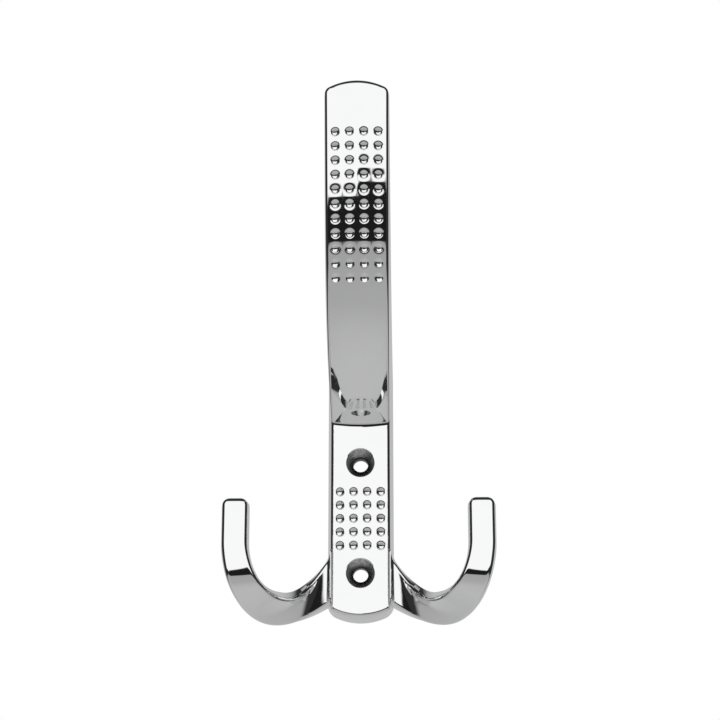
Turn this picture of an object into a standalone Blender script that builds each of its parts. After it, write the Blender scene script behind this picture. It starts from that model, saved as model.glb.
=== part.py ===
"""Wall hook for coats: a drafted wall plate, a broad dimpled prong above it and two J hooks beside it.

The wall is the plane Y = 0 and the front faces -Y. The origin lies on the back of the plate,
midway between the two screw holes. All sizes are in metres.
"""

import math

import bmesh
import bpy
from mathutils import Matrix, Vector

# Fits
CLEARANCE = 0.0003
EDGE_RADIUS = 0.00075
CUT_MARGIN = 0.002
WELD = 0.00001

# Screw holes
SCREW_SPACING = 0.032
SCREW_BORE = 0.0044
SINK_DIAMETER = 0.0083
SINK_DEPTH = 0.0026

# Wall plate
PLATE_BACK_WIDTH = 0.0191
PLATE_FRONT_WIDTH = 0.0168
PLATE_THICKNESS = 0.0080
PLATE_END_MARGIN = 0.0117
PLATE_HALF_HEIGHT = SCREW_SPACING / 2.0 + PLATE_END_MARGIN
PLATE_END_RADIUS = 0.0172
PLATE_END_DRAFT = 0.0016
PLATE_CORNER = 0.0016
CROWN_RADIUS = 0.047

# Core pockets in the back of the plate, one each side of a middle rib, with a land round each screw
POCKET_DEPTH = 0.0045
POCKET_LAND = 0.0048
POCKET_RIB = 0.003
POCKET_WALL = 0.0018

# Upper prong
PRONG_REACH = 0.0517
PRONG_TOP = 0.1162
PRONG_ROOT_LEAN = math.radians(61.8)
PRONG_TIP_LEAN = math.radians(7.1)
PRONG_ROOT_PULL = 0.408
PRONG_TIP_PULL = 0.511
PRONG_TIP_FRONT_WIDTH = 0.0177
PRONG_TIP_THICKNESS = 0.0040
PRONG_END_RADIUS = 0.0143
PRONG_CORNER = 0.0015

# Side hooks: heights count from the plate's foot, and a reach is the distance of the front from the wall
HOOK_SPREAD = 0.0340
HOOK_ARM_WIDTH = 0.0069
HOOK_ARM_REACH = 0.0320
HOOK_TIP_LIFT = 0.0289
HOOK_STRAIGHT = 0.0117
HOOK_ROOT_REACH = 0.0056
HOOK_ROOT_LIFT = 0.0038
HOOK_ROOT_WIDTH = 0.0138
HOOK_INNER_BOW = 0.0088
HOOK_INNER_LOW_REACH = 0.0222
HOOK_INNER_LOW_LIFT = 0.0023
HOOK_OUTER_BOW = 0.0070
HOOK_OUTER_LOW_REACH = 0.0218
HOOK_OUTER_LOW_LIFT = -0.0019
HOOK_CORNER = 0.0014
HOOK_THICKNESS = 0.0050
HOOK_SIDE_DRAFT = 0.0006

# Side hooks: how steeply an edge dips at the root, where it heads at its low point, and its Bezier pulls
HOOK_INNER_DIP = math.radians(55.5)
HOOK_INNER_TURN = math.radians(65.4)
HOOK_INNER_FALL = math.radians(3.0)
HOOK_INNER_PULLS = (0.43, 0.53, 0.61, 0.28)
HOOK_OUTER_DIP = math.radians(34.9)
HOOK_OUTER_TURN = math.radians(65.8)
HOOK_OUTER_FALL = math.radians(-16.5)
HOOK_OUTER_PULLS = (0.22, 0.66, 0.64, 0.14)

# Spigots that hold the arms in the plate
PRONG_SPIGOT_WIDTH = 0.0090
PRONG_SPIGOT_DEPTH = 0.0034
PRONG_SPIGOT_HEAD = 0.0030
PRONG_SPIGOT_LENGTH = 0.0080
HOOK_SPIGOT_HEIGHT = 0.0060
HOOK_SPIGOT_DEPTH = 0.0030
HOOK_SOCKET_WALL = 0.0012

# Dimples
DIMPLE_RADIUS = 0.00125
DIMPLE_DEPTH = 0.00040
DIMPLE_MARGIN = 0.0024
PLATE_DIMPLE_PITCH = 0.0039
PRONG_COLUMN_PITCH = 0.0040
PRONG_ROW_PITCH = 0.00412
PRONG_DIMPLE_START = 0.0152
PRONG_DIMPLE_RUN = 0.0420

# Facets
PLATE_FACETS = (8, 1)
PRONG_FACETS = (8, 24)
HOOK_FACETS = (4, 36)
HOLE_SIDES = 32
DIMPLE_SIDES = 8
DIMPLE_RINGS = 6
EDGE_FACETS = 2
PATH_STEPS = 400
HOOK_STEP = 0.004
SMOOTH_ANGLE = math.radians(30)
SAME_SPOT = 0.001

CHROME = (0.78, 0.79, 0.80, 1.0)
CHROME_ROUGHNESS = 0.08

SIDE, FRONT, BACK, LOW_END = 0, 1, 2, 3


def clear_scene():
    for item in list(bpy.data.objects):
        bpy.data.objects.remove(item, do_unlink=True)


def chrome(name):
    material = bpy.data.materials.new(name + "_chrome")
    material.use_nodes = True
    shader = material.node_tree.nodes["Principled BSDF"]
    shader.inputs["Base Color"].default_value = CHROME
    shader.inputs["Metallic"].default_value = 1.0
    shader.inputs["Roughness"].default_value = CHROME_ROUGHNESS
    return material


def finish(bm, name):
    """Turn a bmesh into a named object with outward faces."""
    for face in bm.faces:
        face.material_index = 0
    bmesh.ops.recalc_face_normals(bm, faces=bm.faces[:])
    mesh = bpy.data.meshes.new(name)
    bm.to_mesh(mesh)
    bm.free()
    item = bpy.data.objects.new(name, mesh)
    bpy.context.scene.collection.objects.link(item)
    return item


def finish_piece(bm, name):
    """A finished piece is plated, and smooth where it is round."""
    piece = finish(bm, name)
    piece.data.materials.append(chrome(name))
    piece.data.shade_smooth()
    piece.data.set_sharp_from_angle(angle=SMOOTH_ANGLE)
    return piece


def finish_tool(bm, name):
    """A tool only cuts or adds to a piece, and isn't part of the object."""
    tool = finish(bm, name)
    tool.hide_render = True
    tool.display_type = "WIRE"
    return tool


def combine(target, tool, operation):
    modifier = target.modifiers.new(tool.name, "BOOLEAN")
    modifier.operation = operation
    modifier.solver = "EXACT"
    modifier.object = tool


def place(x, forward, up):
    """A point given by its distance in front of the wall and its height."""
    return Vector((x, -forward, up))


def blend(start, end, share):
    return start + (end - start) * share


def arc_drop(x, radius):
    """How far a circle of this radius falls away at x from its top."""
    return radius - math.sqrt(max(radius * radius - x * x, 0.0))


def bezier(points, t):
    a, b, c, d = points
    s = 1.0 - t
    return a * s ** 3 + b * (3 * s * s * t) + c * (3 * s * t * t) + d * t ** 3


def slab(facets, surface, corners, corner_radius):
    """A closed body over u and v in -1..1, from surface(u, v, front_side), with a soft front rim.

    corners are the (u, v) corners whose front-to-back edges are rounded.
    """
    bm = bmesh.new()
    bmesh.ops.create_grid(bm, x_segments=facets[0], y_segments=facets[1], size=1.0)
    made = bmesh.ops.extrude_face_region(bm, geom=bm.faces[:])["geom"]
    behind = {v for v in made if isinstance(v, bmesh.types.BMVert)}
    for face in bm.faces:
        count = sum(v in behind for v in face.verts)
        if count == 0:
            face.material_index = FRONT
        elif count == len(face.verts):
            face.material_index = BACK
        elif all(v.co.y < SAME_SPOT - 1.0 for v in face.verts):
            face.material_index = LOW_END
    posts = []
    for edge in bm.edges:
        near, far = edge.verts
        upright = (near in behind) != (far in behind)
        if upright and any((near.co.xy - Vector(spot)).length < SAME_SPOT for spot in corners):
            posts.append(edge)
    for vert in bm.verts:
        vert.co = surface(vert.co.x, vert.co.y, vert not in behind)
    round_edges(bm, posts, corner_radius)
    rim = [e for e in bm.edges if {f.material_index for f in e.link_faces} == {FRONT, SIDE}]
    round_edges(bm, rim, EDGE_RADIUS)
    bmesh.ops.dissolve_degenerate(bm, dist=WELD, edges=bm.edges[:])
    return bm


def round_edges(bm, edges, radius):
    bmesh.ops.bevel(bm, geom=edges, offset=radius, segments=EDGE_FACETS, profile=0.5, affect="EDGES",
                    material=-1)


def cut_flat(bm, point, normal):
    """Cut away what lies beyond a plane and close the cut."""
    everything = bm.verts[:] + bm.edges[:] + bm.faces[:]
    cut = bmesh.ops.bisect_plane(bm, geom=everything, plane_co=point, plane_no=normal, clear_outer=True)
    edges = [e for e in cut["geom_cut"] if isinstance(e, bmesh.types.BMEdge)]
    bmesh.ops.holes_fill(bm, edges=edges)


def frame_from(origin, x_axis, z_axis):
    y_axis = z_axis.cross(x_axis)
    rotation = Matrix((x_axis, y_axis, z_axis)).transposed()
    return Matrix.Translation(origin) @ rotation.to_4x4()


def block(name, size, frame):
    """A box that stands on its frame's origin and reaches along the frame's z."""
    bm = bmesh.new()
    bmesh.ops.create_cube(bm, size=1.0)
    bmesh.ops.scale(bm, vec=size, verts=bm.verts)
    bmesh.ops.translate(bm, vec=(0.0, 0.0, size[2] / 2.0), verts=bm.verts)
    bmesh.ops.transform(bm, matrix=frame, verts=bm.verts)
    return finish_tool(bm, name)


def dimple_tool(name, spots):
    """Flattened balls sunk halfway into a surface, at spots given as (point, outward normal)."""
    bm = bmesh.new()
    for point, outward in spots:
        made = bmesh.ops.create_uvsphere(bm, u_segments=DIMPLE_SIDES, v_segments=DIMPLE_RINGS,
                                         radius=DIMPLE_RADIUS)
        bmesh.ops.scale(bm, vec=(1.0, 1.0, DIMPLE_DEPTH / DIMPLE_RADIUS), verts=made["verts"])
        frame = frame_from(point, Vector((1.0, 0.0, 0.0)), outward)
        bmesh.ops.transform(bm, matrix=frame, verts=made["verts"])
    return finish_tool(bm, name)


def evenly(room, pitch):
    """Places a pitch apart, as many as fit into the room, centred on zero."""
    count = int(room / pitch) + 1
    return [(i - (count - 1) / 2.0) * pitch for i in range(count)]


# Upper prong: its front line, seen from the side, runs from the plate's top edge to the tip

def lean_direction(lean):
    return place(0.0, math.sin(lean), math.cos(lean))


SEAM_POINT = place(0.0, PLATE_THICKNESS, PLATE_HALF_HEIGHT)
SEAM_NORMAL = lean_direction(PRONG_ROOT_LEAN)
SEAM_INWARD = place(0.0, -math.cos(PRONG_ROOT_LEAN), math.sin(PRONG_ROOT_LEAN))
PRONG_ROOT_THICKNESS = (PLATE_THICKNESS - CLEARANCE) / math.cos(PRONG_ROOT_LEAN)
PRONG_END = place(0.0, PRONG_REACH, PRONG_TOP)
PRONG_CHORD = (PRONG_END - SEAM_POINT).length
PRONG_CURVE = (
    SEAM_POINT + SEAM_NORMAL * CLEARANCE,
    SEAM_POINT + SEAM_NORMAL * (PRONG_CHORD * PRONG_ROOT_PULL),
    PRONG_END - lean_direction(PRONG_TIP_LEAN) * (PRONG_CHORD * PRONG_TIP_PULL),
    PRONG_END,
)
PRONG_SPOTS = [bezier(PRONG_CURVE, step / PATH_STEPS) for step in range(PATH_STEPS + 1)]


def running_lengths(spots):
    lengths = [0.0]
    for before, after in zip(spots, spots[1:]):
        lengths.append(lengths[-1] + (after - before).length)
    return lengths


PRONG_LENGTHS = running_lengths(PRONG_SPOTS)
PRONG_LENGTH = PRONG_LENGTHS[-1]


def prong_frame(distance):
    """Point and outward normal of the front line at a distance from the seam."""
    step = next((i for i, length in enumerate(PRONG_LENGTHS) if length > distance), PATH_STEPS)
    before, after = PRONG_SPOTS[step - 1], PRONG_SPOTS[step]
    share = (distance - PRONG_LENGTHS[step - 1]) / (PRONG_LENGTHS[step] - PRONG_LENGTHS[step - 1])
    along = (after - before).normalized()
    return blend(before, after, share), Vector((0.0, -along.z, along.y))


def prong_surface(u, v, front_side):
    share = (v + 1.0) / 2.0
    width = PLATE_BACK_WIDTH
    if front_side:
        width = blend(PLATE_FRONT_WIDTH, PRONG_TIP_FRONT_WIDTH, share)
    x = u * width / 2.0
    distance = share * (PRONG_LENGTH - arc_drop(x, PRONG_END_RADIUS))
    spot, outward = prong_frame(distance)
    depth = blend(PRONG_ROOT_THICKNESS, PRONG_TIP_THICKNESS, distance / PRONG_LENGTH)
    if front_side:
        depth = arc_drop(x, CROWN_RADIUS)
    return spot + Vector((x, 0.0, 0.0)) - outward * depth


def prong_dimple_spots():
    spots = []
    middle = PRONG_LENGTH - PRONG_DIMPLE_START - PRONG_DIMPLE_RUN / 2.0
    for row in evenly(PRONG_DIMPLE_RUN, PRONG_ROW_PITCH):
        spot, outward = prong_frame(middle + row)
        for x in evenly(PLATE_FRONT_WIDTH - 2.0 * DIMPLE_MARGIN, PRONG_COLUMN_PITCH):
            spots.append((spot + Vector((x, 0.0, 0.0)) - outward * arc_drop(x, CROWN_RADIUS), outward))
    return spots


def prong_spigot(name, room):
    """The upright spigot under the seam's middle, or with room around it, its socket in the plate."""
    middle = SEAM_POINT + SEAM_INWARD * (PRONG_ROOT_THICKNESS / 2.0)
    top = middle + Vector((0.0, 0.0, PRONG_SPIGOT_HEAD))
    frame = frame_from(top, Vector((1.0, 0.0, 0.0)), Vector((0.0, 0.0, -1.0)))
    width = PRONG_SPIGOT_WIDTH + 2.0 * room
    depth = PRONG_SPIGOT_DEPTH + 2.0 * room
    return block(name, Vector((width, depth, PRONG_SPIGOT_HEAD + PRONG_SPIGOT_LENGTH + room)), frame)


def make_upper_prong():
    bm = slab(PRONG_FACETS, prong_surface, ((-1.0, 1.0), (1.0, 1.0)), PRONG_CORNER)
    prong = finish_piece(bm, "upper_prong")
    combine(prong, prong_spigot("prong_spigot", 0.0), "UNION")
    combine(prong, dimple_tool("prong_dimples", prong_dimple_spots()), "DIFFERENCE")


# Side hooks: the front face runs between an inner and an outer edge, each in three legs

def plate_side(forward):
    """Half the plate's width at a distance in front of the wall."""
    return blend(PLATE_BACK_WIDTH, PLATE_FRONT_WIDTH, forward / PLATE_THICKNESS) / 2.0


SIDE_NORMAL = Vector((PLATE_THICKNESS, -(PLATE_BACK_WIDTH - PLATE_FRONT_WIDTH) / 2.0, 0.0)).normalized()
HOOK_START = plate_side(PLATE_THICKNESS) - CUT_MARGIN
HOOK_FOOT = -PLATE_HALF_HEIGHT
HOOK_TIP = HOOK_FOOT + HOOK_TIP_LIFT
HOOK_OUTER_ROOT = HOOK_FOOT + HOOK_ROOT_LIFT
HOOK_INNER_ROOT = HOOK_OUTER_ROOT + HOOK_ROOT_WIDTH
FORWARD = place(0.0, 1.0, 0.0)
UPWARD = place(0.0, 0.0, 1.0)


def edge_legs(root_height, arm_x, bow, low_reach, low_lift, dip, turn, fall, pulls):
    """A front edge as Bezier curves: root to low point, low point to arm, arm to tip."""
    root = place(HOOK_START, HOOK_ROOT_REACH, root_height + CUT_MARGIN * math.tan(dip))
    low = place(arm_x - bow, low_reach, HOOK_FOOT + low_lift)
    bend = place(arm_x, HOOK_ARM_REACH, HOOK_TIP - HOOK_STRAIGHT)
    tip = place(arm_x, HOOK_ARM_REACH, HOOK_TIP)
    dipping = place(math.cos(dip), 0.0, -math.sin(dip))
    heading = place(math.cos(turn) * math.cos(fall), math.sin(turn) * math.cos(fall), -math.sin(fall))
    reach, climb = (low - root).length, (bend - low).length
    return (
        (root, root + dipping * (reach * pulls[0]), low - heading * (reach * pulls[1]), low),
        (low, low + heading * (climb * pulls[2]), bend - UPWARD * (climb * pulls[3]), bend),
        (bend, blend(bend, tip, 1.0 / 3.0), blend(bend, tip, 2.0 / 3.0), tip),
    )


INNER_LEGS = edge_legs(HOOK_INNER_ROOT, HOOK_SPREAD - HOOK_ARM_WIDTH / 2.0, HOOK_INNER_BOW,
                       HOOK_INNER_LOW_REACH, HOOK_INNER_LOW_LIFT,
                       HOOK_INNER_DIP, HOOK_INNER_TURN, HOOK_INNER_FALL, HOOK_INNER_PULLS)
OUTER_LEGS = edge_legs(HOOK_OUTER_ROOT, HOOK_SPREAD + HOOK_ARM_WIDTH / 2.0, HOOK_OUTER_BOW,
                       HOOK_OUTER_LOW_REACH, HOOK_OUTER_LOW_LIFT,
                       HOOK_OUTER_DIP, HOOK_OUTER_TURN, HOOK_OUTER_FALL, HOOK_OUTER_PULLS)


def on_legs(legs, share):
    spot = share * len(legs)
    leg = min(int(spot), len(legs) - 1)
    return bezier(legs[leg], spot - leg)


def hook_across(share):
    return on_legs(INNER_LEGS, share) - on_legs(OUTER_LEGS, share)


def hook_middle(share):
    return blend(on_legs(OUTER_LEGS, share), on_legs(INNER_LEGS, share), 0.5)


def hook_inward(share):
    """From the face to the back: midway between square to the face and straight towards the wall."""
    along = hook_middle(min(share + HOOK_STEP, 1.0)) - hook_middle(max(share - HOOK_STEP, 0.0))
    outward = along.cross(hook_across(share)).normalized()
    return -(outward + FORWARD).normalized()


def hook_surface(u, v, front_side):
    share = (v + 1.0) / 2.0
    across = hook_across(share)
    spot = on_legs(OUTER_LEGS, share) + across * ((u + 1.0) / 2.0)
    if front_side:
        return spot
    return spot + hook_inward(share) * HOOK_THICKNESS + across.normalized() * (u * HOOK_SIDE_DRAFT)


def hook_spigot(name, side, room):
    """The spigot that reaches into the plate's side towards the screw, or with room round it, its socket."""
    forward = HOOK_ROOT_REACH - HOOK_THICKNESS / 2.0
    height = (HOOK_INNER_ROOT + HOOK_OUTER_ROOT) / 2.0
    far = plate_side(forward) + CUT_MARGIN
    near = SINK_DIAMETER / 2.0 + HOOK_SOCKET_WALL + CLEARANCE - room
    frame = frame_from(place(side * far, forward, height), Vector((0.0, 0.0, 1.0)), Vector((-side, 0.0, 0.0)))
    size = Vector((HOOK_SPIGOT_HEIGHT + 2.0 * room, HOOK_SPIGOT_DEPTH + 2.0 * room, far - near))
    return block(name, size, frame)


def make_side_hook(name, side):
    bm = slab(HOOK_FACETS, hook_surface, ((-1.0, 1.0), (1.0, 1.0)), HOOK_CORNER)
    seat = place(plate_side(0.0), 0.0, 0.0) + SIDE_NORMAL * CLEARANCE
    cut_flat(bm, seat, -SIDE_NORMAL)
    bmesh.ops.scale(bm, vec=(side, 1.0, 1.0), verts=bm.verts)
    hook = finish_piece(bm, name)
    combine(hook, hook_spigot(name + "_spigot", side, 0.0), "UNION")


# Wall plate

def plate_surface(u, v, front_side):
    share = (v + 1.0) / 2.0
    top = SEAM_POINT.z + PRONG_ROOT_THICKNESS + CUT_MARGIN
    if front_side:
        x = u * PLATE_FRONT_WIDTH / 2.0
        bottom = arc_drop(x, PLATE_END_RADIUS) - PLATE_HALF_HEIGHT
        return place(x, PLATE_THICKNESS - arc_drop(x, CROWN_RADIUS), blend(bottom, top, share))
    x = u * PLATE_BACK_WIDTH / 2.0
    bottom = arc_drop(x, PLATE_END_RADIUS) - PLATE_HALF_HEIGHT - PLATE_END_DRAFT
    return place(x, 0.0, blend(bottom, top, share))


def hole_tool(name, height):
    """A countersunk hole turned about the screw's axis."""
    bore, sink = SCREW_BORE / 2.0, SINK_DIAMETER / 2.0
    face, neck = -PLATE_THICKNESS, SINK_DEPTH - PLATE_THICKNESS
    flare = (sink - bore) / SINK_DEPTH
    mouth = sink + flare * CUT_MARGIN
    profile = ((0.0, face - CUT_MARGIN), (mouth, face - CUT_MARGIN), (bore, neck),
               (bore, CUT_MARGIN), (0.0, CUT_MARGIN))
    bm = bmesh.new()
    verts = [bm.verts.new((radius, y, height)) for radius, y in profile]
    edges = [bm.edges.new(pair) for pair in zip(verts, verts[1:])]
    bmesh.ops.spin(bm, geom=verts + edges, cent=(0.0, 0.0, height), axis=(0.0, 1.0, 0.0),
                   angle=math.tau, steps=HOLE_SIDES, use_merge=True)
    bmesh.ops.remove_doubles(bm, verts=bm.verts, dist=WELD)
    return finish_tool(bm, name)


def pocket_tool(name, side):
    inner = POCKET_RIB / 2.0
    outer = plate_side(POCKET_DEPTH) - POCKET_WALL
    start = place(side * (inner + outer) / 2.0, -CUT_MARGIN, 0.0)
    frame = frame_from(start, Vector((1.0, 0.0, 0.0)), Vector((0.0, -1.0, 0.0)))
    length = SCREW_SPACING - SCREW_BORE - 2.0 * POCKET_LAND
    return block(name, Vector((outer - inner, length, POCKET_DEPTH + CUT_MARGIN)), frame)


def plate_dimple_spots():
    spots = []
    for height in evenly(SCREW_SPACING - SINK_DIAMETER - 2.0 * DIMPLE_MARGIN, PLATE_DIMPLE_PITCH):
        for x in evenly(PLATE_FRONT_WIDTH - 2.0 * DIMPLE_MARGIN, PLATE_DIMPLE_PITCH):
            forward = PLATE_THICKNESS - arc_drop(x, CROWN_RADIUS)
            spots.append((place(x, forward, height), Vector((0.0, -1.0, 0.0))))
    return spots


def make_wall_plate():
    bm = slab(PLATE_FACETS, plate_surface, ((-1.0, -1.0), (1.0, -1.0)), PLATE_CORNER)
    cut_flat(bm, SEAM_POINT, SEAM_NORMAL)
    plate = finish_piece(bm, "wall_plate")
    combine(plate, dimple_tool("plate_dimples", plate_dimple_spots()), "DIFFERENCE")
    combine(plate, prong_spigot("prong_socket", CLEARANCE), "DIFFERENCE")
    for label, side in (("left", -1.0), ("right", 1.0)):
        combine(plate, hook_spigot(label + "_socket", side, CLEARANCE), "DIFFERENCE")
        combine(plate, pocket_tool(label + "_pocket", side), "DIFFERENCE")
    for label, height in (("upper", SCREW_SPACING / 2.0), ("lower", -SCREW_SPACING / 2.0)):
        combine(plate, hole_tool(label + "_screw_hole", height), "DIFFERENCE")


clear_scene()
make_wall_plate()
make_upper_prong()
make_side_hook("left_hook", -1.0)
make_side_hook("right_hook", 1.0)
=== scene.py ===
# %% [markdown]
# # A bright chrome wall hook for coats
# The real hook is one casting that was polished and chrome plated: a plate with two screw holes, a
# broad prong that leans out above it, and a J-shaped hook on each side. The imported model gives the
# four pieces as plain solids. This lesson loads them, and builds a finer skin for each one, with
# soft edges, pressed dimples and the polished plating that a camera would see.

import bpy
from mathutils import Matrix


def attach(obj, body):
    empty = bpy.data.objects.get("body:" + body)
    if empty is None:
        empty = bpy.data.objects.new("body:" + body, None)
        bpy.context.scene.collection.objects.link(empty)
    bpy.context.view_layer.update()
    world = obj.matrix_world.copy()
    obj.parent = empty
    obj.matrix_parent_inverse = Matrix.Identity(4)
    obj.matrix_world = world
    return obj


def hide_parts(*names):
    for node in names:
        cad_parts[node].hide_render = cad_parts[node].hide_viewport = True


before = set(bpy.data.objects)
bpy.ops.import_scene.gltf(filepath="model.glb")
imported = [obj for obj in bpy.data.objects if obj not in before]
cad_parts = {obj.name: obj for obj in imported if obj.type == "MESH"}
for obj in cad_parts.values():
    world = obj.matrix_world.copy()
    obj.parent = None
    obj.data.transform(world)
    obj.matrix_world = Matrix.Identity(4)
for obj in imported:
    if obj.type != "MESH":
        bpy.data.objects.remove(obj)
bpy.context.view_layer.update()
print("nodes of the packed model:", ", ".join(sorted(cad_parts)))

# %% [markdown]
# ## Camera
# The hook was photographed from a little below and almost straight from the front, with a long lens.
# A camera can be aimed by hand or with a constraint. Here its direction is worked out from a rise
# and a turn, because two angles and a distance are easy to compare with a photograph.

# %% Aim the camera
import math

import bpy
from mathutils import Vector

CAMERA_RISE = math.radians(16.0)
CAMERA_TURN = math.radians(1.45)
CAMERA_DISTANCE = 0.525
CAMERA_TARGET = Vector((-0.0003, 0.0, 0.0491))
CAMERA_LENS = 88.15
SENSOR_WIDTH = 36.0
NEAR_CLIP = 0.01

scene = bpy.context.scene
view_axis = Vector((-math.sin(CAMERA_TURN) * math.cos(CAMERA_RISE),
                    math.cos(CAMERA_TURN) * math.cos(CAMERA_RISE), math.sin(CAMERA_RISE)))
camera_data = bpy.data.cameras.new("camera")
camera_data.lens = CAMERA_LENS
camera_data.sensor_width = SENSOR_WIDTH
camera_data.clip_start = NEAR_CLIP
camera = bpy.data.objects.new("camera", camera_data)
camera.location = CAMERA_TARGET - view_axis * CAMERA_DISTANCE
camera.rotation_euler = view_axis.to_track_quat("-Z", "Y").to_euler()
scene.collection.objects.link(camera)
scene.camera = camera
scene.view_settings.view_transform = "Standard"
print("camera at", [round(n, 3) for n in camera.location])

# %% [markdown]
# ## Studio
# Polished chrome has hardly any colour of its own: what it shows is the room. The room is therefore
# the most important part of this picture. It could be built from real cards and lamps, but a
# world that answers by direction does the same with a few ramps. In front it has a grey ground, a dark
# band, a wide white wall and a dark ceiling. To the sides it goes dark, which draws the thin black
# lines along every rounded edge. Behind the hook it is grey.

# %% Helpers for node trees
# Sockets that a mix node uses for colours
MIX_FACTOR, MIX_FIRST, MIX_SECOND, MIX_RESULT = 0, 6, 7, 2


def grey(level):
    return (level, level, level, 1.0)


def calc(tree, operation, first, second=0.0):
    """A math node. Plain numbers are set on it, and sockets are linked to it."""
    node = tree.nodes.new("ShaderNodeMath")
    node.operation = operation
    for socket, value in zip(node.inputs, (first, second)):
        if isinstance(value, (int, float)):
            socket.default_value = value
        else:
            tree.links.new(value, socket)
    return node.outputs[0]


def mix_colours(tree, factor, first, second):
    """The first colour where the factor is 0, and the second where it is 1."""
    node = tree.nodes.new("ShaderNodeMix")
    node.data_type = "RGBA"
    for number, value in ((MIX_FACTOR, factor), (MIX_FIRST, first), (MIX_SECOND, second)):
        if isinstance(value, tuple):
            node.inputs[number].default_value = value
        else:
            tree.links.new(value, node.inputs[number])
    return node.outputs[MIX_RESULT]


def noise(tree, vector, scale, detail, stretch=None):
    """A noise texture over a vector, stretched along some axes where asked."""
    if stretch:
        mapping = tree.nodes.new("ShaderNodeMapping")
        mapping.inputs["Scale"].default_value = stretch
        tree.links.new(vector, mapping.inputs["Vector"])
        vector = mapping.outputs["Vector"]
    node = tree.nodes.new("ShaderNodeTexNoise")
    node.inputs["Scale"].default_value = scale
    node.inputs["Detail"].default_value = detail
    tree.links.new(vector, node.inputs["Vector"])
    return node.outputs[0]


print("node helpers ready")

# %% Ramps of the room from the ground to the ceiling
# Each stop is an elevation in degrees and the grey that is reached there.
FRONT_LEFT = ((-90, 0.50), (-60, 0.47), (-40, 0.40), (-12.5, 0.37), (-10.5, 0.012), (0.8, 0.012), (2.2, 1.0),
              (50, 1.0), (58, 0.03), (90, 0.03))
FRONT_RIGHT = FRONT_LEFT[:5] + ((3.4, 0.012), (4.8, 1.0)) + FRONT_LEFT[7:]
SIDE_WALL = ((-90, 0.50), (-60, 0.46), (-36, 0.43), (-21, 0.38), (-15, 0.03), (34, 0.02), (90, 0.03))
BACK_WALL = ((-90, 0.50), (-45, 0.46), (-20, 0.50), (0, 0.52), (30, 0.50), (42, 0.35), (55, 0.03), (90, 0.03))

world = bpy.data.worlds.new("studio")
scene.world = world
world.use_nodes = True
room = world.node_tree
room.nodes.clear()


def height_of(degrees):
    """Where an elevation lies on a ramp that runs from straight down to straight up."""
    return (math.sin(math.radians(degrees)) + 1.0) / 2.0


def room_ramp(stops, elevation):
    """A ramp of greys over the elevation of a direction."""
    ramp = room.nodes.new("ShaderNodeValToRGB")
    elements = ramp.color_ramp.elements
    while len(elements) < len(stops):
        elements.new(0.5)
    for element, (degrees, level) in zip(elements, stops):
        element.position = height_of(degrees)
        element.color = grey(level)
    room.links.new(elevation, ramp.inputs["Fac"])
    return ramp.outputs["Color"]


def room_step(value, low, high):
    """A soft step from 0 at the low value to 1 at the high one."""
    node = room.nodes.new("ShaderNodeMapRange")
    node.interpolation_type = "SMOOTHSTEP"
    node.inputs["From Min"].default_value = low
    node.inputs["From Max"].default_value = high
    room.links.new(value, node.inputs["Value"])
    return node.outputs["Result"]


print("stops of the front wall:", len(FRONT_LEFT), "sides:", len(SIDE_WALL), "back:", len(BACK_WALL))

# %% Join the walls into a room
ROOM_RAGGEDNESS = 0.05
CLUTTER = (5.0, 3.0)
# Where one wall passes into the next: two by turns from the front in degrees, one by the direction's x
FRONT_EDGE = (40.0, 32.0)
BACK_EDGE = (138.0, 154.0)
RIGHT_EDGE = (-0.01, 0.02)
LEAST_LEVEL_PART = 0.001


def turn_step(facing, turns):
    """A soft step between two turns away from the front, in degrees."""
    low, high = (math.cos(math.radians(turn)) for turn in turns)
    return room_step(facing, low, high)


direction = room.nodes.new("ShaderNodeTexCoord").outputs["Generated"]
ways = room.nodes.new("ShaderNodeSeparateXYZ")
room.links.new(direction, ways.inputs[0])
clutter = noise(room, direction, *CLUTTER)
ragged = calc(room, "MULTIPLY", calc(room, "SUBTRACT", clutter, 0.5), ROOM_RAGGEDNESS)
rise = calc(room, "ADD", ways.outputs["Z"], ragged)
elevation = calc(room, "MULTIPLY", calc(room, "ADD", rise, 1.0), 0.5)
level_part = calc(room, "SQRT", calc(room, "SUBTRACT", 1.0, calc(room, "POWER", ways.outputs["Z"], 2.0)))
forward_part = calc(room, "MULTIPLY", ways.outputs["Y"], -1.0)
facing = calc(room, "DIVIDE", forward_part, calc(room, "MAXIMUM", level_part, LEAST_LEVEL_PART))
right_half = room_step(ways.outputs["X"], *RIGHT_EDGE)
front = mix_colours(room, right_half, room_ramp(FRONT_LEFT, elevation), room_ramp(FRONT_RIGHT, elevation))
walls = mix_colours(room, turn_step(facing, FRONT_EDGE), room_ramp(SIDE_WALL, elevation), front)
walls = mix_colours(room, turn_step(facing, BACK_EDGE), walls, room_ramp(BACK_WALL, elevation))
print("the room turns from front to side between", FRONT_EDGE[1], "and", FRONT_EDGE[0], "degrees")

# %% [markdown]
# The picture's background is plain white, so camera rays that miss everything see white of strength 1.
# Only rays that left the polished metal see the room. Light for the floor is an even pale grey.

# %% Tell camera rays, reflections and soft light apart
AMBIENT = grey(0.62)
WHITE = grey(1.0)

path = room.nodes.new("ShaderNodeLightPath")
seen = calc(room, "MAXIMUM", path.outputs["Is Camera Ray"], path.outputs["Is Transmission Ray"])
colour = mix_colours(room, seen, AMBIENT, WHITE)
colour = mix_colours(room, path.outputs["Is Glossy Ray"], colour, walls)
background = room.nodes.new("ShaderNodeBackground")
room.links.new(colour, background.inputs["Color"])
room_output = room.nodes.new("ShaderNodeOutputWorld")
room.links.new(background.outputs[0], room_output.inputs["Surface"])
world.cycles.sampling_method = "NONE"
print("world nodes:", len(room.nodes))

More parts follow.
